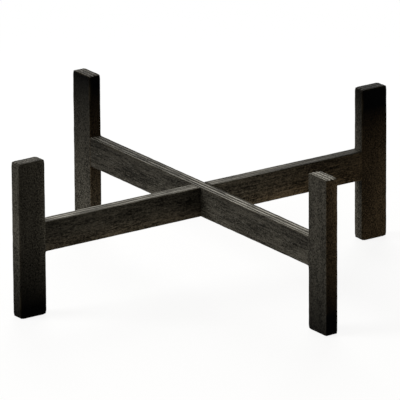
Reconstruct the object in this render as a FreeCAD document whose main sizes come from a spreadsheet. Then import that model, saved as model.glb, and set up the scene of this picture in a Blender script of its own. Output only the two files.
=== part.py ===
import FreeCAD, Part
import os

import Sketcher
from FreeCAD import Placement, Rotation, Vector

# Pot stand of two alike H-shaped frames that cross in a half-lap at mid-height.
# Each frame is a rail held between two posts by glued dowels. The lower frame is the
# same frame turned upside down and a quarter round, so that the two notches meet.
#
# Millimetres. Z is up and the floor is Z = 0. The upper frame runs along X, the lower
# frame along Y, and the origin lies on the floor below the crossing.

SIZES = {
    # The boards. A rail is as long as the bay that the pot stands in, from post to post.
    "stand_height": 120.0,
    "rail_length": 286.0,
    "rail_height": 23.0,
    "post_width": 23.0,
    "board_thickness": 10.0,
    "edge_radius": 0.6,
    # The half-lap: play on each side of the board that fills a notch, play between the
    # two notch floors, and the rounding of the notch walls' outline
    "lap_side_clearance": 0.15,
    "lap_seat_clearance": 0.2,
    "lap_mouth_radius": 0.5,
    # How far a cut runs past the surface that it starts from
    "cut_overrun": 2.0,
    # The dowels and the holes that hold them
    "dowel_diameter": 5.0,
    "dowel_length": 30.0,
    "dowel_depth_in_post": 12.0,
    "dowel_edge_distance": 5.0,
    "dowel_chamfer": 0.5,
    "dowel_hole_clearance": 0.05,
    "dowel_end_gap": 0.5,
    "flute_radius": 0.3,
    "flute_count": 12,
}

# The size that a sketch is first drawn at, before its constraints drive it to its own.
DRAWN = 1.0

# Two places closer than this are the same place.
SAME_PLACE = 0.001

# Where each post stands, seen from above: its side of the stand, and the turn about Z
# that points the post's own +X inwards, along its rail.
POST_SIDES = {
    "left": (Vector(-1, 0, 0), 0),
    "right": (Vector(1, 0, 0), 180),
    "front": (Vector(0, -1, 0), 90),
    "back": (Vector(0, 1, 0), -90),
}

# Which half of the rail's height each dowel of a joint lies in.
DOWEL_LEVELS = {"top": 1, "bottom": -1}

# Sizes worked out from the driving ones, that more than one feature is driven by.
HOLE_DIAMETER = "(Sizes.dowel_diameter + 2 * Sizes.dowel_hole_clearance)"
DOWEL_OFFSET = "(Sizes.rail_height / 2 - Sizes.dowel_edge_distance)"
HALF_NOTCH = "(Sizes.board_thickness / 2 + Sizes.lap_side_clearance)"

PARTS_FOLDER = "parts"


def make_sheet(doc):
    """The driving dimensions, one cell each, under the names used in the expressions."""
    sheet = doc.addObject("Spreadsheet::Sheet", "Sizes")
    for row, (alias, size) in enumerate(SIZES.items(), start=1):
        cell = f"A{row}"
        sheet.set(cell, str(size))
        sheet.setAlias(cell, alias)
    doc.recompute()


def add_body(doc, label):
    body = doc.addObject("PartDesign::Body", label)
    body.Label = label
    return body


def origin_feature(body, role):
    """One of the body's own base planes or axes."""
    for feature in body.Origin.OriginFeatures:
        if feature.Role == role:
            return feature
    raise ValueError(f"{body.Label} has no {role}")


def add_sketch(body, name, plane_role, offset=None):
    """A sketch on one of the body's base planes, or at an offset along its normal."""
    sketch = body.newObject("Sketcher::SketchObject", f"{body.Name}_{name}")
    sketch.AttachmentSupport = [(origin_feature(body, plane_role), "")]
    sketch.MapMode = "FlatFace"
    if offset:
        sketch.setExpression("AttachmentOffset.Base.z", offset)
    return sketch


def add_dimension(sketch, name, constraint, expression):
    """A named dimension that the expression drives."""
    index = sketch.addConstraint(constraint)
    sketch.renameConstraint(index, name)
    sketch.setExpression(f"Constraints.{name}", expression)


def add_rectangle(sketch, left, right, low, high):
    """A rectangle whose four sides lie at these places, counted from the sketch's origin."""
    corners = [
        Vector(-DRAWN, -DRAWN, 0),
        Vector(DRAWN, -DRAWN, 0),
        Vector(DRAWN, DRAWN, 0),
        Vector(-DRAWN, DRAWN, 0),
    ]
    lines = []
    for start, end in zip(corners, corners[1:] + corners[:1]):
        lines.append(sketch.addGeometry(Part.LineSegment(start, end), False))
    for line, following in zip(lines, lines[1:] + lines[:1]):
        sketch.addConstraint(Sketcher.Constraint("Coincident", line, 2, following, 1))

    bottom_line, right_line, top_line, left_line = lines
    for line in (bottom_line, top_line):
        sketch.addConstraint(Sketcher.Constraint("Horizontal", line))
    for line in (left_line, right_line):
        sketch.addConstraint(Sketcher.Constraint("Vertical", line))

    sides = [
        ("left", "DistanceX", left_line, -DRAWN, left),
        ("right", "DistanceX", right_line, DRAWN, right),
        ("low", "DistanceY", bottom_line, -DRAWN, low),
        ("high", "DistanceY", top_line, DRAWN, high),
    ]
    for name, kind, line, place, expression in sides:
        add_dimension(sketch, name, Sketcher.Constraint(kind, line, 1, place), expression)


def add_circle(sketch, name, diameter, height):
    """A circle on the sketch's vertical axis, with its centre at this height."""
    circle = Part.Circle(Vector(0, DRAWN, 0), Vector(0, 0, 1), DRAWN)
    number = sketch.addGeometry(circle, False)
    sketch.addConstraint(Sketcher.Constraint("PointOnObject", number, 3, -2))
    width = Sketcher.Constraint("Diameter", number, 2 * DRAWN)
    add_dimension(sketch, f"{name}_diameter", width, diameter)
    place = Sketcher.Constraint("DistanceY", number, 3, DRAWN)
    add_dimension(sketch, f"{name}_height", place, height)


def add_pad(body, name, sketch, length, both_ways=False):
    """The sketch thickened along its normal, or half of the length to each side."""
    pad = body.newObject("PartDesign::Pad", f"{body.Name}_{name}")
    pad.Profile = sketch
    pad.SideType = "Symmetric" if both_ways else "One side"
    pad.setExpression("Length", length)
    return pad


def add_pocket(body, name, sketch, length):
    """A cut along the sketch's normal, half of the length to each side."""
    pocket = body.newObject("PartDesign::Pocket", f"{body.Name}_{name}")
    pocket.Profile = sketch
    pocket.SideType = "Symmetric"
    pocket.setExpression("Length", length)
    return pocket


def add_fillet(body, name, base, picks, radius):
    """Rounds every edge of the base feature that picks(edge) is true for."""
    body.Document.recompute()
    fillet = body.newObject("PartDesign::Fillet", f"{body.Name}_{name}")
    fillet.Base = (base, picked_edges(base.Shape, picks))
    fillet.setExpression("Radius", radius)
    return fillet


def picked_edges(shape, picks):
    return [f"Edge{number}" for number, edge in enumerate(shape.Edges, start=1) if picks(edge)]


def add_dowel_holes(body, sketch, middle, depth):
    """The two holes of one joint, drilled with a flat bottom about the rail's mid-height."""
    for level, sign in DOWEL_LEVELS.items():
        add_circle(sketch, level, HOLE_DIAMETER, f"{middle} + {sign} * {DOWEL_OFFSET}")
    body.Document.recompute()
    holes = body.newObject("PartDesign::Hole", f"{body.Name}_dowel_holes")
    holes.Profile = sketch
    holes.Threaded = False
    holes.DepthType = "Dimension"
    holes.DrillPoint = "Flat"
    holes.setExpression("Diameter", HOLE_DIAMETER)
    holes.setExpression("Depth", depth)
    return holes


def stand_at_side(body, side, reach):
    """Turns a piece to face inwards from its side, at this reach from the crossing."""
    outward, turn = POST_SIDES[side]
    body.Placement = Placement(Vector(0, 0, 0), Rotation(Vector(0, 0, 1), turn))
    body.setExpression("Placement.Base.x", f"{outward.x} * {reach}")
    body.setExpression("Placement.Base.y", f"{outward.y} * {reach}")


def build_post(doc, side):
    """A post, standing on its own origin, with its inner edge towards its own +X.

    Every edge is rounded over, but not where the rail meets it, because the sides of
    post and rail are sanded flush there.
    """
    body = add_body(doc, f"{side}_post")
    outline = add_sketch(body, "outline", "XY_Plane")
    add_rectangle(
        outline,
        left="-Sizes.post_width / 2",
        right="Sizes.post_width / 2",
        low="-Sizes.board_thickness / 2",
        high="Sizes.board_thickness / 2",
    )
    board = add_pad(body, "board", outline, "Sizes.stand_height")
    add_fillet(body, "rounding", board, lambda edge: True, "Sizes.edge_radius")

    joint = add_sketch(body, "joint_outline", "YZ_Plane")
    add_rectangle(
        joint,
        left="-Sizes.board_thickness / 2",
        right="Sizes.board_thickness / 2",
        low="(Sizes.stand_height - Sizes.rail_height) / 2",
        high="(Sizes.stand_height + Sizes.rail_height) / 2",
    )
    add_pad(body, "square_joint", joint, "Sizes.post_width / 2")

    hole_centres = add_sketch(body, "hole_centres", "YZ_Plane", "Sizes.post_width / 2")
    depth = "Sizes.dowel_depth_in_post + Sizes.dowel_end_gap"
    add_dowel_holes(body, hole_centres, "Sizes.stand_height / 2", depth)

    stand_at_side(body, side, "(Sizes.rail_length + Sizes.post_width) / 2")
    return body


def build_rail(doc, label, rotation):
    """A rail along its own X, about its own centre, with the notch in its underside."""
    body = add_body(doc, label)
    section = add_sketch(body, "section", "YZ_Plane")
    add_rectangle(
        section,
        left="-Sizes.board_thickness / 2",
        right="Sizes.board_thickness / 2",
        low="-Sizes.rail_height / 2",
        high="Sizes.rail_height / 2",
    )
    board = add_pad(body, "board", section, "Sizes.rail_length", both_ways=True)
    add_fillet(body, "rounding", board, is_long_edge, "Sizes.edge_radius")

    notch_outline = add_sketch(body, "notch_outline", "XZ_Plane")
    add_rectangle(
        notch_outline,
        left=f"-{HALF_NOTCH}",
        right=HALF_NOTCH,
        low="-Sizes.rail_height / 2 - Sizes.cut_overrun",
        high="Sizes.lap_seat_clearance / 2",
    )
    notch_run = "Sizes.board_thickness + 2 * Sizes.cut_overrun"
    notch = add_pocket(body, "notch", notch_outline, notch_run)
    add_fillet(body, "mouth", notch, is_notch_wall_outline(doc.Sizes), "Sizes.lap_mouth_radius")

    hole_centres = add_sketch(body, "hole_centres", "YZ_Plane", "Sizes.rail_length / 2")
    depth = "Sizes.dowel_length - Sizes.dowel_depth_in_post + Sizes.dowel_end_gap"
    holes = add_dowel_holes(body, hole_centres, "0", depth)
    doc.recompute()
    other_end = body.newObject("PartDesign::Mirrored", f"{body.Name}_other_end_holes")
    other_end.Originals = [holes]
    other_end.MirrorPlane = (origin_feature(body, "YZ_Plane"), [""])
    body.Tip = other_end

    body.Placement = Placement(Vector(0, 0, 0), rotation)
    body.setExpression("Placement.Base.z", "Sizes.stand_height / 2")
    return body


def is_long_edge(edge):
    """True for an edge that runs along the rail."""
    return edge.tangentAt(edge.FirstParameter).isParallel(Vector(1, 0, 0), SAME_PLACE)


def is_notch_wall_outline(sizes):
    """Picks the outline of the notch's two walls, without the line where each meets the floor."""
    half_notch = sizes.board_thickness / 2 + sizes.lap_side_clearance
    floor = sizes.lap_seat_clearance / 2

    def picks(edge):
        box = edge.BoundBox
        lies_in_wall = box.XLength < SAME_PLACE
        in_notch = abs(abs(box.Center.x) - half_notch) < SAME_PLACE
        return lies_in_wall and in_notch and box.Center.z < floor - SAME_PLACE

    return picks


def build_dowel(doc, side, level):
    """A fluted dowel along its own X, with its origin where post and rail meet."""
    body = add_body(doc, f"{side}_{level}_dowel")
    section = add_sketch(body, "section", "YZ_Plane", "-Sizes.dowel_depth_in_post")
    add_circle(section, "pin", "Sizes.dowel_diameter", "0")
    pin = add_pad(body, "pin", section, "Sizes.dowel_length")
    doc.recompute()
    chamfer = body.newObject("PartDesign::Chamfer", f"{body.Name}_lead_in")
    chamfer.Base = (pin, picked_edges(pin.Shape, lambda edge: edge.isClosed()))
    chamfer.setExpression("Size", "Sizes.dowel_chamfer")

    flute_outline = add_sketch(body, "flute_outline", "YZ_Plane")
    add_circle(flute_outline, "flute", "2 * Sizes.flute_radius", "Sizes.dowel_diameter / 2")
    flute = add_pocket(body, "flute", flute_outline, "2 * Sizes.dowel_length")
    doc.recompute()
    flutes = body.newObject("PartDesign::PolarPattern", f"{body.Name}_flutes")
    flutes.Originals = [flute]
    flutes.Axis = (origin_feature(body, "X_Axis"), [""])
    flutes.Angle = 360
    flutes.setExpression("Occurrences", "Sizes.flute_count")
    body.Tip = flutes

    stand_at_side(body, side, "Sizes.rail_length / 2")
    height = f"Sizes.stand_height / 2 + {DOWEL_LEVELS[level]} * {DOWEL_OFFSET}"
    body.setExpression("Placement.Base.z", height)
    return body


def build_stand(doc):
    """Every piece of the stand, each as a body of its own."""
    quarter_round = Rotation(Vector(0, 0, 1), 90)
    upside_down = Rotation(Vector(1, 0, 0), 180)
    pieces = [
        build_rail(doc, "upper_rail", Rotation()),
        build_rail(doc, "lower_rail", quarter_round.multiply(upside_down)),
    ]
    for side in POST_SIDES:
        pieces.append(build_post(doc, side))
        for level in DOWEL_LEVELS:
            pieces.append(build_dowel(doc, side, level))
    return pieces


def check(doc, pieces):
    """Stops on a feature that failed, a cut that cut nothing and a piece that isn't one solid."""
    for thing in doc.Objects:
        if "Invalid" in thing.State or "Error" in thing.State:
            raise RuntimeError(f"{thing.Label} failed: {thing.State}")
    for piece in pieces:
        cuts = [f for f in piece.Group if f.isDerivedFrom("PartDesign::Hole")]
        cuts += [f for f in piece.Group if f.isDerivedFrom("PartDesign::Pocket")]
        for cut in cuts:
            if cut.Shape.Volume >= cut.BaseFeature.Shape.Volume:
                raise RuntimeError(f"{cut.Label} cut nothing")
        shape = piece.Shape
        if shape.isNull() or not shape.isValid() or len(shape.Solids) != 1:
            raise RuntimeError(f"{piece.Label} is not one valid solid")


def write(pieces):
    """One STEP file for each piece, and a line on its size and place."""
    os.makedirs(PARTS_FOLDER, exist_ok=True)
    for piece in pieces:
        piece.Shape.exportStep(os.path.join(PARTS_FOLDER, f"{piece.Label}.step"))
        box = piece.Shape.optimalBoundingBox(True, False)
        print(
            f"{piece.Label}: volume {piece.Shape.Volume:.1f}, "
            f"x {box.XMin:.2f} to {box.XMax:.2f}, "
            f"y {box.YMin:.2f} to {box.YMax:.2f}, "
            f"z {box.ZMin:.2f} to {box.ZMax:.2f}"
        )


def main():
    doc = FreeCAD.newDocument("pot_stand")
    make_sheet(doc)
    pieces = build_stand(doc)
    doc.recompute()
    check(doc, pieces)
    write(pieces)


main()
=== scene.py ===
"""Looks of a low plant stand: two crossed H-shaped frames of black-stained wood."""

import math

import bmesh
import bpy
import numpy as np
from mathutils import Matrix, Vector, noise


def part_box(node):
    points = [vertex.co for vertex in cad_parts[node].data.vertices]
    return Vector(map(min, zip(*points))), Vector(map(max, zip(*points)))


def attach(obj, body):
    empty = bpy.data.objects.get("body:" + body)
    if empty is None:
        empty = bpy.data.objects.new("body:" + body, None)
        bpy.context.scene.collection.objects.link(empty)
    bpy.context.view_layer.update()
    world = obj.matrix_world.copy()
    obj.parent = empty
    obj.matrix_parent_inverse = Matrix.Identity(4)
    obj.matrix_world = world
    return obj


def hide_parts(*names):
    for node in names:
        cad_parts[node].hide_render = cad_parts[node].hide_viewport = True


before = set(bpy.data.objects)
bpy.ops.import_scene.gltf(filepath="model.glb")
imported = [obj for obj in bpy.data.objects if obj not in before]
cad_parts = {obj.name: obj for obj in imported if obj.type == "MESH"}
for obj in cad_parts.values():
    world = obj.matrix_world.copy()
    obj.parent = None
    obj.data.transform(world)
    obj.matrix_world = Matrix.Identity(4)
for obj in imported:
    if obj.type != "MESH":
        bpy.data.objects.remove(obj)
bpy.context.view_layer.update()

MM = 0.001
TINY = 1e-9
AXES = {"X": 0, "Y": 1, "Z": 2}

# Camera: the view found from the boards' outline and corners, aimed near the stand's middle.
VIEW_AZIMUTH = 55.5495
VIEW_ELEVATION = 18.4334
VIEW_ROLL = -0.3752
VIEW_DISTANCE = 5.27721
VIEW_LENS = 637.64
VIEW_SENSOR = 36.0
VIEW_OFFSET_RIGHT = -0.00183
VIEW_OFFSET_UP = -0.00061
VIEW_CENTRE = Vector((0.0, 0.0, 0.06))

# Studio: each light's place and size in metres and its power in watts, then the world and floor.
LIGHTS = {
    "key_light": ((-0.9, -1.9, 1.3), 1.2, 43.0),
    "back_light": ((-1.9, 1.3, 1.25), 1.5, 52.0),
}
WHITE = (1.0, 1.0, 1.0, 1)
STUDIO_COLOUR = (1.0, 0.94, 0.80, 1)
STUDIO_STRENGTH = 0.35
FLOOR_GREY = (0.45, 0.45, 0.45, 1)
FLOOR_RADIUS = 9.0
FLOOR_SIDES = 96

# Where the floor goes from its whiteness near the stand to that far out, in metres from the middle.
FLOOR_LIMITS = (0.25, 0.7)
FLOOR_WHITENESS = (0.87, 1.0)

# Each board: its CAD node, body, grain axis, width axis, thickness axis and a seed for its wood.
BOARDS = {
    "upper_rail": ("upper_frame", "X", "Z", "Y", 11),
    "lower_rail": ("lower_frame", "Y", "Z", "X", 23),
    "left_post": ("upper_frame", "Z", "X", "Y", 37),
    "right_post": ("upper_frame", "Z", "X", "Y", 41),
    "front_post": ("lower_frame", "Z", "Y", "X", 59),
    "back_post": ("lower_frame", "Z", "Y", "X", 67),
}

# Board shape, in millimetres, and the angle in degrees above which an edge is shaded sharp.
EDGE_RADIUS = 0.6
EDGE_POINTS = 4
STEP_ACROSS = 0.42
STEP_ALONG = 1.5
JOINT_BLEND = 0.8
SHARP_ANGLE = 38

# The half-lap's notches and their cutter, in millimetres.
LAP_SIDE_CLEARANCE = 0.15
LAP_SEAT_CLEARANCE = 0.2
NOTCH_MOUTH_RADIUS = 0.5
NOTCH_OVERSHOOT = 2
NOTCH_RIM = 0.1
NOTCH_POINTS_ALONG = 5
NOTCH_POINTS_UP = 28
NOTCH_POINTS_ACROSS = 25

# The dowel holes, in millimetres.
HOLE_CLEARANCE = 0.05
HOLE_END_GAP = 0.5
HOLE_SIDES = 32

# How deep each kind of unevenness reaches into the wood, in millimetres.
SANDING_DEPTH = 0.08
GRAIN_DEPTH = 0.05
RIDGE_DEPTH = 0.34
END_GRAIN_DEPTH = 0.20
EDGE_WEAR_DEPTH = 0.14
CORNER_WEAR_DEPTH = 1.15

# How large its patches are along the grain, the width and the thickness, in millimetres.
SANDING_SIZE = (38, 9, 9)
RAIL_GRAIN_SIZE = (34, 1.1, 1.1)
POST_GRAIN_SIZE = (4, 1.1, 1.1)
EDGE_WEAR_SIZE = (9, 14, 14)

# Ridges side by side across the thickness, in millimetres, and how sharply they stop at an edge.
RIDGE_SPACING = 3.2
RIDGE_START = 1.2
RIDGE_WANDER = 0.6
RIDGE_WANDER_SIZE = (60, 1, 1)
FACING_POWER = 4

# How far wear reaches from edges and corners, and how far from a joint all relief is full again.
EDGE_WEAR_WIDTH = 2.2
CORNER_WEAR_WIDTH = 3.4
JOINT_FADE = 3.0

# How much of the edges is worn, how fast wear falls off from a corner, and how worn one corner is
# beside the others: its middle, its swing and its least.
EDGE_WEAR_BIAS = 0.25
CORNER_WEAR_POWER = 1.5
CORNER_SHARE_MIDDLE = 0.7
CORNER_SHARE_SWING = 0.6
CORNER_SHARE_LEAST = 0.3
CORNER_SHARE_SIZE = (0.37, 0.41, 0.43)

# The noise behind the relief, and the steps that keep one board's wood apart from the next one's.
NOISE_FALLOFF = 0.6
NOISE_LACUNARITY = 2.0
NOISE_SHIFT = (3.17, 1.31, 2.23)
WOOD_SHIFT = (71.0, 13.0, 29.0)

# Uneven stain and painted light and shade on each face that the photograph shows, as three pairs of
# values at the board's low end, its middle and its high end: how pale it is beside its usual tone,
# and how brown it is. Part of each face's lightness or darkness is painted light and shade, not
# stain.
FACE_STAIN_AND_SHADE = {
    "upper_rail": {
        "-Y": ((1.00, 0), (1.75, 0), (1.42, 0)),
        "+Z": ((1.10, 0), (1.70, 0), (2.40, 0)),
    },
    "lower_rail": {
        "+X": ((1.30, 0), (3.30, 0.1), (1.50, 0.9)),
        "+Z": ((1.70, 0), (2.10, 0), (0.90, 0)),
    },
    "left_post": {
        "-Y": ((2.70, 0), (1.20, 0), (0.00, 0)),
        "+X": ((3.20, 0.5), (1.10, 1), (-0.20, 1)),
        "+Z": ((0.80, 0.3), (0.80, 0.3), (0.80, 0.3)),
    },
    "right_post": {
        "-Y": ((0.28, 0), (1.40, 0), (1.45, 0)),
        "+X": ((-0.45, 1), (1.30, 1), (1.90, 1)),
        "+Z": ((2.30, 0), (2.30, 0), (2.30, 0)),
    },
    "front_post": {
        "-Y": ((0.05, 0), (1.75, 0), (1.25, 0)),
        "+X": ((-0.22, 0), (1.46, 0), (1.50, 0)),
        "+Z": ((1.30, 0), (1.30, 0), (1.30, 0)),
    },
    "back_post": {
        "-Y": ((2.35, 0), (1.80, 0), (0.15, 0)),
        "+X": ((2.10, 1), (1.50, 1), (-0.50, 1)),
        "+Z": ((0.20, 0), (0.20, 0), (0.20, 0)),
    },
}

# The same across a face, from the low side of its width to the high side: what its paleness is
# multiplied by, and what is added to its brownness. Like the table above, this is partly stain and
# partly painted light and shade, making a face lighter towards one edge.
FACE_SIDE_STAIN_AND_SHADE = {
    "upper_rail": {"-Y": ((1.30, 0), (1.00, 0), (0.80, 0))},
    "lower_rail": {"+X": ((2.10, 0.45), (1.08, 0.1), (0.80, 0))},
    "right_post": {"+X": ((0.70, 0), (1.00, 0), (1.50, 0))},
    "front_post": {"+X": ((0.78, 0), (0.88, 0), (1.60, 0))},
    "back_post": {
        "-Y": ((1.35, 0), (1.05, 0), (0.70, 0)),
        "+X": ((0.90, 0), (1.00, 0), (1.30, 0)),
    },
}

# How pale the stain is on a board's other faces.
POST_STAIN = 0.85
RAIL_STAIN = 1.00

# How far into the wood a face's own stain reaches, and how far it is at its full, in millimetres.
FACE_DEPTH = 1.0
FACE_FULL_DEPTH = FACE_DEPTH / 3

# Painted shade in the corner beside the crossing: the lower rail is darker on the low side of the
# crossing, by this share, out to this many millimetres.
LAP_SHADE = 0.75
LAP_SHADE_REACH = 75.0

# How pale the raised crests are at each board's low end and high end: crests rubbed pale by wear,
# with a painted highlight that is stronger towards one end.
CREST_WEAR_AND_HIGHLIGHT = {
    "upper_rail": (0.30, 1.00),
    "lower_rail": (1.00, 0.09),
    "left_post": (0.50, 0.30),
    "right_post": (0.60, 1.00),
    "front_post": (0.60, 0.32),
    "back_post": (0.30, 0.12),
}

# Colours of the wood.
STAIN_DEEP = (0.0020, 0.0018, 0.0012, 1)
STAIN_THIN = (0.0530, 0.0492, 0.0404, 1)
PORE_BLACK = (0.0010, 0.0009, 0.0006, 1)
FLECK_GREY = (0.170, 0.163, 0.145, 1)
CREST_WEAR_AND_HIGHLIGHT_GREY = (0.500, 0.482, 0.434, 1)
WORN_BROWN = (0.040, 0.032, 0.020, 1)
BROWN_TINT = (1.0, 0.77, 0.55)
BEECH_DARK = (0.50, 0.31, 0.17, 1)
BEECH_LIGHT = (0.68, 0.47, 0.29, 1)
BEECH_FLECK = (0.30, 0.16, 0.08, 1)

# How streaky and how cloudy the grain of each kind of board is, beside its fine speckle.
RAIL_STREAK, POST_STREAK = 0.75, 0.04
RAIL_CLOUD, POST_CLOUD = 0.50, 0.22
BAND_SHARE = 0.7

# How far the tone swings: on even wood, and how much further where the grain is all streaks.
TONE_SPREAD, STREAK_SPREAD = 0.175, 0.14

# Noises along the grain: length and width in millimetres, detail, and roughness where it is set.
CLOUDS = (45, 9, 2.0)
BANDS = (40, 1.6, 3.0, 0.6)
FIBRE = (9, 0.7, 4.0, 0.7)
BROKEN_LINES = (30, 1.4, 4.0, 0.6)
EDGE_PATCHES = (16, 5, 4.0)
BEECH_GRAIN = (14, 0.6, 4.0, 0.6)
BEECH_FLECKS = (1.8, 0.25, 1.0)

# The same for marks that the streaks draw out, with the length that streaks add after the length.
SPECKLE = (1.15, 0.7, 1.15, 3.0, 0.75)
FLECKS = (0.8, 5.2, 0.8, 2.0)
PORES = (0.5, 6, 0.4, 1.0)

# Where in a noise or a value a mark starts to show and where it shows in full.
FLECK_LIMITS = (0.64, 0.76)
PORE_LIMITS = (0.58, 0.68)
CREST_LIMITS = (0.15, 0.95)
TOP_CREST_LIMITS = (0.40, 0.95)
BROKEN_LIMITS = (0.36, 0.62)
EDGE_PATCH_LIMITS = (0.40, 0.66)
BEECH_FLECK_LIMITS = (0.60, 0.68)

# How strongly each mark shows, and how fast worn patches fall off from an edge.
FLECK_STRENGTH = 0.45
PORE_STRENGTH = 0.8
EDGE_PATCH_STRENGTH = 0.5
BEECH_FLECK_STRENGTH = 0.5
EDGE_PATCH_POWER = 1.6

# Surfaces: roughness between two limits of the grain's noise; bump strength and depth in metres;
# how much the stained wood mirrors; and how deep the pores lie in its bump.
SHEEN_LIMITS = (0.3, 0.7)
STAIN_ROUGHNESS = (0.50, 0.68)
BEECH_ROUGHNESS = (0.50, 0.65)
STAIN_BUMP = (0.8, 0.0004)
BEECH_BUMP = (0.3, 0.0001)
STAIN_GLOSS = 0.008
PORE_RELIEF = 0.4

# Socket numbers of the colour mix: the factor, the two colours and the result.
MIX_INPUTS = (0, 6, 7)
MIX_RESULT = 2


def box_mm(node):
    """The lowest and highest corners of a CAD node, in millimetres."""
    low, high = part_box(node)
    return np.array(low) / MM, np.array(high) / MM


class Board:
    """A board's CAD node, body and box, and its axes along the grain, width and thickness."""

    def __init__(self, name):
        self.name = name
        self.is_post = name.endswith("post")
        self.body, *self.axes, self.seed = BOARDS[name]
        self.order = [AXES[axis] for axis in self.axes]
        self.low, self.high = box_mm(name)
        self.centre = (self.low + self.high) / 2
        self.half = ((self.high - self.low) / 2)[self.order]

    def ends(self, axis):
        """The board's low and high ends on one of the model's axes, in millimetres."""
        return self.low[AXES[axis]], self.high[AXES[axis]]

    def in_model(self, points):
        """Points by grain, width and thickness from the centre, put on the model's axes."""
        placed = np.zeros_like(points)
        placed[:, self.order] = points
        return placed + self.centre


def grid_lines(half, step, radius):
    """Grid lines across one side of a board, closer together over its rounded edges."""
    flat_half = half - radius
    count = max(2, round(2 * flat_half / step))
    flat = np.linspace(-flat_half, flat_half, count + 1)
    if radius == 0:
        return flat
    angles = np.linspace(0, math.pi / 4, EDGE_POINTS + 1)[1:]
    edge = flat_half + radius * np.tan(angles)
    return np.concatenate([-edge[::-1], flat, edge])


def box_lattice(lines):
    """The points on the surface of a box cut by three sets of grid lines, and its faces."""
    shape = [len(line) for line in lines]
    grid = np.indices(shape)
    surface = np.zeros(shape, bool)
    for axis in range(3):
        surface |= (grid[axis] == 0) | (grid[axis] == shape[axis] - 1)
    number = np.full(shape, -1)
    number[surface] = np.arange(surface.sum())
    points = np.stack([lines[axis][grid[axis][surface]] for axis in range(3)], axis=1)
    faces = []
    for axis in range(3):
        for side in (0, -1):
            sheet = np.take(number, side, axis=axis)
            corners = [sheet[:-1, :-1], sheet[1:, :-1], sheet[1:, 1:], sheet[:-1, 1:]]
            faces.append(np.stack(corners, axis=-1).reshape(-1, 4))
    return points, np.concatenate(faces)


def near_edge(points, half, square_ends):
    """1 on a board's edges, falling to 0 over the width that wears."""
    depth = half - np.abs(points)
    if square_ends:
        depth[:, 0] = EDGE_WEAR_WIDTH
    nearest = np.sort(depth, axis=1)[:, 1]
    return np.clip(1 - nearest / EDGE_WEAR_WIDTH, 0, 1)


def round_edges(points, half, square_ends):
    """Moves a box's surface points onto rounded edges, and gives them with their normals."""
    core = half - EDGE_RADIUS
    if square_ends:
        core[0] = half[0]
    held = np.clip(points, -core, core)
    out = points - held
    reach = np.linalg.norm(out, axis=1)
    normals = out / np.maximum(reach, TINY)[:, None]
    sizes = np.sort(np.abs(out), axis=1)
    rounded = held + normals * sizes[:, 2][:, None]
    return rounded, normals


def rail_points(half):
    """A rail's surface: long edges rounded, ends cut square."""
    lines = [
        grid_lines(half[0], STEP_ALONG, 0),
        grid_lines(half[1], STEP_ACROSS, EDGE_RADIUS),
        grid_lines(half[2], STEP_ACROSS, EDGE_RADIUS),
    ]
    points, faces = box_lattice(lines)
    rounded, normals = round_edges(points, half, True)
    edge = near_edge(points, half, True)
    joint_distance = half[0] - np.abs(points[:, 0])
    return rounded, normals, edge, faces, joint_distance


def post_points(half, joint_half, inner_side):
    """A post's surface: every edge rounded, but square where the rail meets it."""
    along = grid_lines(half[0], STEP_ALONG, EDGE_RADIUS)
    extra = [-joint_half - JOINT_BLEND, -joint_half, joint_half, joint_half + JOINT_BLEND]
    lines = [
        np.unique(np.concatenate([along, extra])),
        grid_lines(half[1], STEP_ACROSS, EDGE_RADIUS),
        grid_lines(half[2], STEP_ACROSS, EDGE_RADIUS),
    ]
    points, faces = box_lattice(lines)
    rounded, normals = round_edges(points, half, False)
    edge = near_edge(points, half, False)
    beyond = np.abs(points[:, 0]) - joint_half
    roundness = np.clip(beyond / JOINT_BLEND, 0, 1)
    roundness[points[:, 1] * inner_side < 0] = 1
    rounded = points + roundness[:, None] * (rounded - points)
    across = half[1] - points[:, 1] * inner_side
    joint_distance = np.hypot(np.maximum(beyond, 0), across)
    return rounded, normals, edge * roundness, faces, joint_distance


def plain_surface(board):
    """A board's surface before wear: points, normals, edges, faces and how far its joint is."""
    if not board.is_post:
        return rail_points(board.half)
    rail_low, rail_high = box_mm("upper_rail")
    joint_half = (rail_high - rail_low)[AXES["Z"]] / 2
    inner_side = -np.sign(board.centre[board.order[1]])
    return post_points(board.half, joint_half, inner_side)


def noise_at(points, scale, seed, octaves=3):
    """Smooth noise between about -1 and 1, stretched by a length in each direction."""
    shift = Vector([seed * step for step in NOISE_SHIFT])
    values = [
        noise.fractal(Vector(row) + shift, NOISE_FALLOFF, NOISE_LACUNARITY, octaves)
        for row in (points / np.array(scale)).tolist()
    ]
    return np.clip(np.array(values), -1, 1)


def ridges(points, seed):
    """Long ridges side by side across the thickness: 0 on their crests and 1 between them."""
    wander = noise_at(points * (1, 0, 0), RIDGE_WANDER_SIZE, seed, octaves=2)
    phase = (points[:, 2] + RIDGE_START + RIDGE_WANDER * wander) / RIDGE_SPACING
    return 0.5 - 0.5 * np.cos(2 * math.pi * phase)


def ridged_faces(board, normals):
    """1 on the faces that have ridges, and 0 on the others: a rail's top and a post's two ends."""
    if board.is_post:
        return np.abs(normals[:, 0]) ** FACING_POWER
    return np.clip(normals[:, 1], 0, 1) ** FACING_POWER


def ridge_depth(board):
    """How deep a board's ridges are, in millimetres. The lower rail's are only coloured."""
    if board.is_post:
        return END_GRAIN_DEPTH
    return RIDGE_DEPTH if board.name == "upper_rail" else 0.0


def corner_wear(points, seed):
    """How worn a post's corners are: 1 at most at a corner, less on some corners than on others."""
    reach = np.abs(points[:, :2]).max(axis=0)
    distance = (reach - np.abs(points[:, :2])).sum(axis=1)
    corner = np.clip(1 - distance / CORNER_WEAR_WIDTH, 0, 1) ** CORNER_WEAR_POWER
    unlike = noise_at(np.sign(points), CORNER_SHARE_SIZE, seed + 3, octaves=1)
    share = CORNER_SHARE_MIDDLE + CORNER_SHARE_SWING * unlike
    return corner * np.clip(share, CORNER_SHARE_LEAST, 1)


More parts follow.
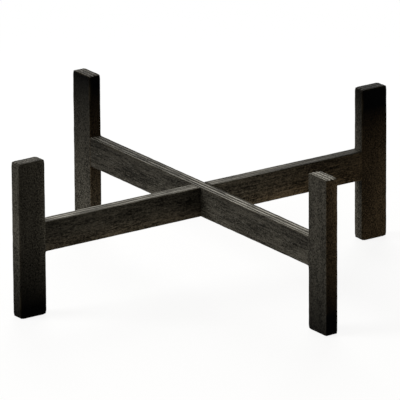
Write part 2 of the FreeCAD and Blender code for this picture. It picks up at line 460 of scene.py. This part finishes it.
def relief_depth(board, points, edge, ridged, joint_distance):
    """How far each point lies under its nominal face, from sanding, grain, ridges and wear."""
    sanding = 0.5 + 0.5 * noise_at(points, SANDING_SIZE, board.seed)
    grain_size = POST_GRAIN_SIZE if board.is_post else RAIL_GRAIN_SIZE
    grain = 0.5 + 0.5 * noise_at(points, grain_size, board.seed + 1)
    depth = SANDING_DEPTH * sanding + GRAIN_DEPTH * grain
    wear = np.clip(noise_at(points, EDGE_WEAR_SIZE, board.seed + 2) + EDGE_WEAR_BIAS, 0, 1)
    depth += EDGE_WEAR_DEPTH * edge**2 * wear
    depth += ridge_depth(board) * ridged
    if board.is_post:
        depth += CORNER_WEAR_DEPTH * corner_wear(points, board.seed)
    fade = np.clip(joint_distance / JOINT_FADE, 0, 1)
    return depth * fade * fade * (3 - 2 * fade)


def mesh_from(name, points, faces, attributes=None):
    """A Blender mesh with outward normals, and any values that its points carry."""
    mesh = bpy.data.meshes.new(name)
    mesh.from_pydata(points.tolist(), [], [list(face) for face in faces])
    for key, values in (attributes or {}).items():
        layer = mesh.attributes.new(key, "FLOAT", "POINT")
        layer.data.foreach_set("value", values.astype(np.float32))
    work = bmesh.new()
    work.from_mesh(mesh)
    bmesh.ops.recalc_face_normals(work, faces=work.faces)
    work.to_mesh(mesh)
    work.free()
    return mesh


def notch_cutter(half, width_sign, notch_half, floor):
    """The block that a half-lap notch takes out of a rail, flared where its mouth is rounded."""
    reach = half + NOTCH_OVERSHOOT
    rim = half - NOTCH_RIM
    inner = np.linspace(-rim[2], rim[2], NOTCH_POINTS_ACROSS)
    across = np.concatenate([[-reach[2], -half[2]], inner, [half[2], reach[2]]])
    rise = np.concatenate([
        np.linspace(floor, rim[1], NOTCH_POINTS_UP),
        [half[1], reach[1]],
    ])
    along = np.linspace(-notch_half, notch_half, NOTCH_POINTS_ALONG)
    points, faces = box_lattice([along, rise, across])
    inside_side = half[2] - np.abs(points[:, 2])
    inside_mouth = half[1] - points[:, 1]
    inside = np.clip(np.minimum(inside_side, inside_mouth), 0, NOTCH_MOUTH_RADIUS)
    short = NOTCH_MOUTH_RADIUS - inside
    flare = NOTCH_MOUTH_RADIUS - np.sqrt(np.maximum(NOTCH_MOUTH_RADIUS**2 - short**2, 0))
    climb = np.clip((points[:, 1] - floor) / NOTCH_MOUTH_RADIUS, 0, 1)
    walls = np.abs(points[:, 0]) > notch_half - TINY
    points[:, 0] += np.sign(points[:, 0]) * flare * climb * walls
    points[:, 1] *= width_sign
    return points, faces


def lap_notch(board):
    """The cutter of a rail's half-lap notch, in the model's own axes."""
    is_upper = board.name == "upper_rail"
    other = Board("lower_rail" if is_upper else "upper_rail")
    notch_half = (other.high - other.low)[board.order[0]] / 2 + LAP_SIDE_CLEARANCE
    opens = -1 if is_upper else 1
    points, faces = notch_cutter(board.half, opens, notch_half, LAP_SEAT_CLEARANCE / 2)
    return mesh_from("lap_notch", board.in_model(points), faces)


def rod_points(start, end, axis, centre, radius):
    """The points of a rod along one axis: a ring at its start and a ring at its end."""
    angles = np.linspace(0, 2 * math.pi, HOLE_SIDES, endpoint=False)
    others = [other for other in range(3) if other != axis]
    points = np.zeros((2 * HOLE_SIDES, 3))
    for ring, place in enumerate((start, end)):
        rows = slice(ring * HOLE_SIDES, (ring + 1) * HOLE_SIDES)
        points[rows, axis] = place
        points[rows, others[0]] = centre[others[0]] + radius * np.cos(angles)
        points[rows, others[1]] = centre[others[1]] + radius * np.sin(angles)
    return points


def rod_faces():
    """The faces of a rod made of two rings of points."""
    faces = [list(range(HOLE_SIDES)), list(range(HOLE_SIDES, 2 * HOLE_SIDES))]
    for i in range(HOLE_SIDES):
        j = (i + 1) % HOLE_SIDES
        faces.append([i, j, HOLE_SIDES + j, HOLE_SIDES + i])
    return faces


def dowels_in(board):
    """The CAD boxes of the dowels that reach into a board."""
    boxes = [box_mm(name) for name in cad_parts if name.endswith("dowel")]
    return [
        (low, high)
        for low, high in boxes
        if np.all(high > board.low) and np.all(low < board.high)
    ]


def dowel_cutters(board):
    """A boring rod for each dowel that reaches into a board."""
    cutters = []
    for low, high in dowels_in(board):
        size = high - low
        axis = int(np.argmax(size))
        others = [other for other in range(3) if other != axis]
        radius = size[others].max() / 2 + HOLE_CLEARANCE
        start = low[axis] - HOLE_END_GAP
        end = high[axis] + HOLE_END_GAP
        points = rod_points(start, end, axis, (low + high) / 2, radius)
        cutters.append(mesh_from("dowel_hole", points, rod_faces()))
    return cutters


def cut(mesh, cutters):
    """The mesh with each cutter's volume taken away."""
    target = bpy.data.objects.new("board_blank", mesh)
    bpy.context.scene.collection.objects.link(target)
    tools = []
    for cutter in cutters:
        tool = bpy.data.objects.new("board_cutter", cutter)
        bpy.context.scene.collection.objects.link(tool)
        tools.append(tool)
        step = target.modifiers.new("cut", "BOOLEAN")
        step.operation = "DIFFERENCE"
        step.solver = "EXACT"
        step.object = tool
    graph = bpy.context.evaluated_depsgraph_get()
    result = bpy.data.meshes.new_from_object(target.evaluated_get(graph))
    for thing in [target, *tools]:
        bpy.data.objects.remove(thing)
    return result


def board_mesh(board):
    """A board with rounded edges, grain relief, its dowel holes and its notch if it has one."""
    points, normals, edge, faces, joint_distance = plain_surface(board)
    ridge = ridges(points, board.seed)
    on_ridged = ridged_faces(board, normals)
    depth = relief_depth(board, points, edge, on_ridged * ridge, joint_distance)
    worn = board.in_model(points - normals * depth[:, None])
    mesh = mesh_from(board.name, worn, faces, {"edge": edge, "crest": (1 - ridge) * on_ridged})
    cutters = dowel_cutters(board)
    if not board.is_post:
        cutters.append(lap_notch(board))
    return cut(mesh, cutters)


def make_board(board):
    """The board's object, which rides on its body in place of its CAD node."""
    wood = bpy.data.objects.new(f"{board.name}_wood", board_mesh(board))
    wood.data.transform(Matrix.Scale(MM, 4))
    wood.data.shade_smooth()
    wood.data.set_sharp_from_angle(angle=math.radians(SHARP_ANGLE))
    bpy.context.scene.collection.objects.link(wood)
    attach(wood, board.body)
    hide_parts(board.name)
    return wood


class Shader:
    """A material's node tree, with short calls to add nodes and join them."""

    def __init__(self, name):
        self.material = bpy.data.materials.new(name)
        self.material.use_nodes = True
        self.tree = self.material.node_tree
        self.tree.nodes.clear()
        self.output = self.tree.nodes.new("ShaderNodeOutputMaterial")

    def fill(self, node, key, value):
        """Sets an input to a value, or joins another node's output to it."""
        if isinstance(value, bpy.types.NodeSocket):
            self.tree.links.new(value, node.inputs[key])
        else:
            node.inputs[key].default_value = value

    def add(self, kind, inputs=None, **settings):
        """A new node with the given settings and inputs."""
        node = self.tree.nodes.new(kind)
        for key, value in settings.items():
            setattr(node, key, value)
        for key, value in (inputs or {}).items():
            self.fill(node, key, value)
        return node

    def math(self, operation, first, second=0.0):
        """The result of one sum on two numbers or outputs."""
        node = self.add("ShaderNodeMath", {0: first, 1: second}, operation=operation)
        return node.outputs[0]

    def scaled(self, vector, scale):
        """A vector multiplied part by part."""
        node = self.add("ShaderNodeVectorMath", {0: vector, 1: scale}, operation="MULTIPLY")
        return node.outputs[0]

    def dimmed(self, colour, scale):
        """A colour multiplied by one number."""
        node = self.add("ShaderNodeVectorMath", {0: colour, "Scale": scale}, operation="SCALE")
        return node.outputs[0]

    def grain(self, wood, length, width, detail, roughness=0.55):
        """Noise stretched along the grain, by its length and width in millimetres."""
        vector = self.scaled(wood, (1 / length, 1 / width, 1 / width))
        node = self.add(
            "ShaderNodeTexNoise",
            {"Vector": vector, "Scale": 1.0, "Detail": detail, "Roughness": roughness},
        )
        return node.outputs[0]

    def ramp(self, value, low, high, start=0.0, end=1.0, shape="SMOOTHSTEP"):
        """A value taken from one range to another, smoothly unless another shape is given."""
        node = self.add(
            "ShaderNodeMapRange",
            {0: value, 1: low, 2: high, 3: start, 4: end},
            interpolation_type=shape,
        )
        return node.outputs[0]

    def attribute(self, name):
        """A value that the mesh's points carry."""
        return self.add("ShaderNodeAttribute", attribute_name=name).outputs["Fac"]

    def mix(self, factor, first, second):
        """A colour between two colours."""
        node = self.add("ShaderNodeMix", data_type="RGBA")
        for socket, value in zip(MIX_INPUTS, (factor, first, second)):
            self.fill(node, socket, value)
        return node.outputs[MIX_RESULT]

    def surface(self, colour, roughness, height, bump, others=None):
        """Joins up the finished surface, with a bump of the given strength and depth in metres."""
        strength, distance = bump
        bumped = self.add(
            "ShaderNodeBump", {"Strength": strength, "Distance": distance, "Height": height}
        )
        inputs = {"Base Color": colour, "Roughness": roughness, "Normal": bumped.outputs[0]}
        skin = self.add("ShaderNodeBsdfPrincipled", {**inputs, **(others or {})})
        self.tree.links.new(skin.outputs[0], self.output.inputs[0])


def wood_coordinates(shader, axes, seed):
    """Millimetres along the grain, width and thickness: in the model, and shifted into the wood."""
    place = shader.add("ShaderNodeTexCoord").outputs["Object"]
    split = shader.add("ShaderNodeSeparateXYZ", {0: place}).outputs
    order = {index: split[AXES[axis]] for index, axis in enumerate(axes)}
    joined = shader.add("ShaderNodeCombineXYZ", order).outputs[0]
    place = shader.scaled(joined, (1 / MM, 1 / MM, 1 / MM))
    shift = [seed * step for step in WOOD_SHIFT]
    wood = shader.add("ShaderNodeVectorMath", {0: place, 1: shift}, operation="ADD").outputs[0]
    return place, wood


def distance_on(shader, place, board, axis):
    """How far a point lies along one of the model's axes, in millimetres."""
    split = shader.add("ShaderNodeSeparateXYZ", {0: place}).outputs
    return split[board.axes.index(axis)]


def end_to_end(shader, distance, ends, values):
    """A number that goes evenly between its values at a low end, the middle and a high end."""
    low_end, high_end = ends
    low_value, middle_value, high_value = values
    middle = (low_end + high_end) / 2
    low_half = shader.ramp(distance, low_end, middle, 0.0, middle_value - low_value, "LINEAR")
    high_half = shader.ramp(distance, middle, high_end, 0.0, high_value - middle_value, "LINEAR")
    change = shader.math("ADD", low_half, high_half)
    return shader.math("MAXIMUM", shader.math("ADD", change, low_value), 0.0)


def lap_shade(shader, along):
    """Painted shade beside the crossing: a number that is low on the low side of the crossing, and
    1 away from it.
    """
    low, high = box_mm("upper_rail")
    half_lap = (high - low)[AXES["Y"]] / 2
    low_side = shader.ramp(along, -half_lap - LAP_SHADE_REACH, -half_lap, 0.0, LAP_SHADE, "LINEAR")
    high_side = shader.ramp(along, -half_lap, half_lap, 0.0, LAP_SHADE, "LINEAR")
    shade = shader.math("SUBTRACT", low_side, high_side)
    return shader.math("SUBTRACT", 1.0, shade)


def face_share(shader, place, board, face):
    """1 on one face of a board, falling to 0 a little way into the wood."""
    side, axis = face
    low, high = board.ends(axis)
    surface, inwards = (high, -1) if side == "+" else (low, 1)
    start = surface + inwards * FACE_DEPTH
    end = surface + inwards * FACE_FULL_DEPTH
    return shader.ramp(distance_on(shader, place, board, axis), start, end)


def tone_and_brown(shader, place, board, axis, stops):
    """How pale and how brown a face is along one of the model's axes."""
    distance = distance_on(shader, place, board, axis)
    tones, browns = zip(*stops)
    tone = end_to_end(shader, distance, board.ends(axis), tones)
    brown = end_to_end(shader, distance, board.ends(axis), browns)
    return tone, brown


def stain_and_shade_face(shader, place, board, face, colour):
    """The colour on one face, as uneven stain with painted light and shade: paler or deeper, and
    browner, along it and across it, with painted shade beside the crossing on the lower rail.
    """
    grain_axis, *other_axes = board.axes
    stops = FACE_STAIN_AND_SHADE[board.name][face]
    tone, brown = tone_and_brown(shader, place, board, grain_axis, stops)
    if face in FACE_SIDE_STAIN_AND_SHADE.get(board.name, {}):
        side_axis = next(axis for axis in other_axes if axis not in face)
        stops = FACE_SIDE_STAIN_AND_SHADE[board.name][face]
        side_tone, side_brown = tone_and_brown(shader, place, board, side_axis, stops)
        tone = shader.math("MULTIPLY", tone, side_tone)
        brown = shader.math("ADD", brown, side_brown)
    # Painted shade in the corner beside the crossing, on the lower rail's side face.
    if board.name == "lower_rail" and face == "+X":
        along = distance_on(shader, place, board, grain_axis)
        tone = shader.math("MULTIPLY", tone, lap_shade(shader, along))
    tinted = shader.mix(brown, colour, shader.scaled(colour, BROWN_TINT))
    return shader.dimmed(tinted, tone)


def stain_and_shade_board(shader, place, board, colour):
    """The colour all over a board: even stain, and on each listed face uneven stain with painted
    light and shade.
    """
    stained = shader.dimmed(colour, POST_STAIN if board.is_post else RAIL_STAIN)
    for face in FACE_STAIN_AND_SHADE[board.name]:
        on_face = stain_and_shade_face(shader, place, board, face, colour)
        stained = shader.mix(face_share(shader, place, board, face), stained, on_face)
    return stained


def drawn_out(marks, streak):
    """The noise of marks that the streaks draw out along the grain."""
    length, added, *others = marks
    return length + added * streak, *others


def grain_tone(shader, wood, streak, cloud):
    """Stain tone from 0, deep, to 1, thin, and the height of the grain for the bump."""
    clouds = shader.grain(wood, *CLOUDS)
    bands = shader.grain(wood, *BANDS)
    fibre = shader.grain(wood, *FIBRE)
    speckle = shader.grain(wood, *drawn_out(SPECKLE, streak))
    streaks = shader.math("ADD", shader.math("MULTIPLY", bands, BAND_SHARE), fibre)
    height = shader.math("ADD", shader.math("MULTIPLY", streaks, streak), speckle)
    tone = shader.math("ADD", height, shader.math("MULTIPLY", clouds, cloud))
    middle = ((1 + BAND_SHARE) * streak + 1 + cloud) / 2
    spread = TONE_SPREAD + STREAK_SPREAD * streak
    return shader.ramp(tone, middle - spread, middle + spread), height, fibre


def flecked(shader, wood, streak, colour):
    """The colour with short grey flecks in it."""
    flecks = shader.grain(wood, *drawn_out(FLECKS, streak))
    share = shader.ramp(flecks, *FLECK_LIMITS, 0.0, FLECK_STRENGTH)
    return shader.mix(share, colour, FLECK_GREY)


def crest_worn_and_highlighted(shader, place, wood, board, colour):
    """The colour, pale in broken lines along the raised crests: rubbed pale by wear, and a painted
    highlight, stronger towards one end.
    """
    limits = TOP_CREST_LIMITS if board.name == "upper_rail" else CREST_LIMITS
    raised = shader.ramp(shader.attribute("crest"), *limits)
    broken = shader.ramp(shader.grain(wood, *BROKEN_LINES), *BROKEN_LIMITS)
    pale = shader.math("MULTIPLY", raised, broken)
    grain_axis = board.axes[0]
    along = distance_on(shader, place, board, grain_axis)
    # How strong the pale crests are from end to end, which also paints the tops' highlight.
    strength = shader.ramp(along, *board.ends(grain_axis), *CREST_WEAR_AND_HIGHLIGHT[board.name])
    return shader.mix(shader.math("MULTIPLY", pale, strength), colour, CREST_WEAR_AND_HIGHLIGHT_GREY)


def edge_worn(shader, wood, colour):
    """The colour, with brown wood showing in places along the edges."""
    edge = shader.math("POWER", shader.attribute("edge"), EDGE_PATCH_POWER)
    patches = shader.ramp(shader.grain(wood, *EDGE_PATCHES), *EDGE_PATCH_LIMITS)
    worn = shader.math("MULTIPLY", edge, patches)
    return shader.mix(shader.math("MULTIPLY", worn, EDGE_PATCH_STRENGTH), colour, WORN_BROWN)


def black_stained_wood(board):
    """Open-grained wood under a thin black stain, satin, with its grain along one axis."""
    shader = Shader(f"{board.name}_stain")
    streak = POST_STREAK if board.is_post else RAIL_STREAK
    cloud = POST_CLOUD if board.is_post else RAIL_CLOUD
    place, wood = wood_coordinates(shader, board.axes, board.seed)
    tone, height, fibre = grain_tone(shader, wood, streak, cloud)
    colour = flecked(shader, wood, streak, shader.mix(tone, STAIN_DEEP, STAIN_THIN))
    pores = shader.ramp(shader.grain(wood, *drawn_out(PORES, streak)), *PORE_LIMITS)
    colour = shader.mix(shader.math("MULTIPLY", pores, PORE_STRENGTH), colour, PORE_BLACK)
    # Uneven stain with painted light and shade, face by face.
    colour = stain_and_shade_board(shader, place, board, colour)
    # Pale crests: wear, with a painted highlight.
    colour = crest_worn_and_highlighted(shader, place, wood, board, colour)
    colour = edge_worn(shader, wood, colour)
    relief = shader.math("SUBTRACT", height, shader.math("MULTIPLY", pores, PORE_RELIEF))
    roughness = shader.ramp(fibre, *SHEEN_LIMITS, *STAIN_ROUGHNESS)
    shader.surface(colour, roughness, relief, STAIN_BUMP, {"Specular IOR Level": STAIN_GLOSS})
    return shader.material


def plain_beech(name, grain_axis, seed):
    """Pale beech with its short dark flecks, for the dowels."""
    shader = Shader(name)
    axes = [grain_axis, *(axis for axis in AXES if axis != grain_axis)]
    _, wood = wood_coordinates(shader, axes, seed)
    grain = shader.grain(wood, *BEECH_GRAIN)
    flecks = shader.grain(wood, *BEECH_FLECKS)
    share = shader.ramp(flecks, *BEECH_FLECK_LIMITS, 0.0, BEECH_FLECK_STRENGTH)
    colour = shader.mix(share, shader.mix(grain, BEECH_DARK, BEECH_LIGHT), BEECH_FLECK)
    roughness = shader.ramp(grain, *SHEEN_LIMITS, *BEECH_ROUGHNESS)
    shader.surface(colour, roughness, grain, BEECH_BUMP)
    return shader.material


def dress_boards():
    """Builds the six boards and stains each with its own wood."""
    for name in BOARDS:
        board = Board(name)
        wood = make_board(board)
        wood.data.materials.clear()
        wood.data.materials.append(black_stained_wood(board))


def dress_dowels():
    """Gives every dowel its own piece of beech."""
    for number, name in enumerate(sorted(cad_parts)):
        if not name.endswith("dowel"):
            continue
        low, high = box_mm(name)
        grain_axis = "XYZ"[int(np.argmax(high - low))]
        beech = plain_beech(f"{name}_beech", grain_axis, number)
        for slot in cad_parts[name].material_slots:
            slot.material = beech


def shown_rays(tree):
    """1 for the rays that show the background: those of the camera, of gloss and of glass."""
    path = tree.nodes.new("ShaderNodeLightPath")
    first = path.outputs["Is Camera Ray"]
    for kind in ("Is Glossy Ray", "Is Transmission Ray"):
        either = tree.nodes.new("ShaderNodeMath")
        either.operation = "MAXIMUM"
        tree.links.new(first, either.inputs[0])
        tree.links.new(path.outputs[kind], either.inputs[1])
        first = either.outputs[0]
    return first


def white_floor_material():
    """White floor: plain white where it is seen far out, with the soft shadow near the stand."""
    shader = Shader("white_floor")
    place = shader.add("ShaderNodeTexCoord").outputs["Object"]
    length = shader.add("ShaderNodeVectorMath", {0: place}, operation="LENGTH").outputs["Value"]
    far_out = shader.ramp(length, *FLOOR_LIMITS, *FLOOR_WHITENESS)
    shown = shown_rays(shader.tree)
    paint = shader.add("ShaderNodeBsdfDiffuse", {"Color": shader.mix(shown, FLOOR_GREY, WHITE)})
    glow = shader.add("ShaderNodeEmission", {"Color": WHITE, "Strength": 1.0})
    factor = shader.math("MULTIPLY", shown, far_out)
    mixed = shader.add("ShaderNodeMixShader", {0: factor, 1: paint.outputs[0], 2: glow.outputs[0]})
    shader.tree.links.new(mixed.outputs[0], shader.output.inputs[0])
    return shader.material


def make_floor():
    """A large round floor under the stand."""
    mesh = bpy.data.meshes.new("floor")
    work = bmesh.new()
    bmesh.ops.create_circle(work, cap_ends=True, segments=FLOOR_SIDES, radius=FLOOR_RADIUS)
    work.to_mesh(mesh)
    work.free()
    floor = bpy.data.objects.new("floor", mesh)
    floor.data.materials.append(white_floor_material())
    bpy.context.scene.collection.objects.link(floor)


def background(tree, colour, strength):
    """The output of an even background light."""
    node = tree.nodes.new("ShaderNodeBackground")
    node.inputs[0].default_value = colour
    node.inputs[1].default_value = strength
    return node.outputs[0]


def make_world():
    """White where it is seen; a soft even studio for the light that falls on the stand."""
    world = bpy.data.worlds.new("studio")
    world.use_nodes = True
    tree = world.node_tree
    tree.nodes.clear()
    output = tree.nodes.new("ShaderNodeOutputWorld")
    mix = tree.nodes.new("ShaderNodeMixShader")
    tree.links.new(shown_rays(tree), mix.inputs[0])
    tree.links.new(background(tree, STUDIO_COLOUR, STUDIO_STRENGTH), mix.inputs[1])
    tree.links.new(background(tree, WHITE, 1.0), mix.inputs[2])
    tree.links.new(mix.outputs[0], output.inputs[0])
    bpy.context.scene.world = world


def area_light(name, place, size, power):
    """A square soft box aimed at the middle of the stand."""
    light = bpy.data.lights.new(name, "AREA")
    light.shape = "SQUARE"
    light.size = size
    light.energy = power
    lamp = bpy.data.objects.new(name, light)
    lamp.location = place
    aim = VIEW_CENTRE - Vector(place)
    lamp.rotation_euler = aim.to_track_quat("-Z", "Y").to_euler()
    bpy.context.scene.collection.objects.link(lamp)


def make_lights():
    """A key from the front left, and a softer one from above and behind."""
    for name, (place, size, power) in LIGHTS.items():
        area_light(name, place, size, power)


def make_camera():
    """The camera at the photographed view."""
    azimuth = math.radians(VIEW_AZIMUTH)
    elevation = math.radians(VIEW_ELEVATION)
    roll = math.radians(VIEW_ROLL)
    back = Vector((
        math.sin(azimuth) * math.cos(elevation),
        -math.cos(azimuth) * math.cos(elevation),
        math.sin(elevation),
    ))
    level = Vector((math.cos(azimuth), math.sin(azimuth), 0.0))
    upright = back.cross(level)
    right = level * math.cos(roll) + upright * math.sin(roll)
    up = upright * math.cos(roll) - level * math.sin(roll)
    data = bpy.data.cameras.new("camera")
    data.lens = VIEW_LENS
    data.sensor_width = VIEW_SENSOR
    camera = bpy.data.objects.new("camera", data)
    turn = Matrix((right, up, back)).transposed().to_4x4()
    place = VIEW_CENTRE + back * VIEW_DISTANCE + right * VIEW_OFFSET_RIGHT + up * VIEW_OFFSET_UP
    camera.matrix_world = Matrix.Translation(place) @ turn
    bpy.context.scene.collection.objects.link(camera)
    bpy.context.scene.camera = camera


make_camera()
make_floor()
make_world()
make_lights()
dress_boards()
dress_dowels()
bpy.context.scene.view_settings.view_transform = "Standard"
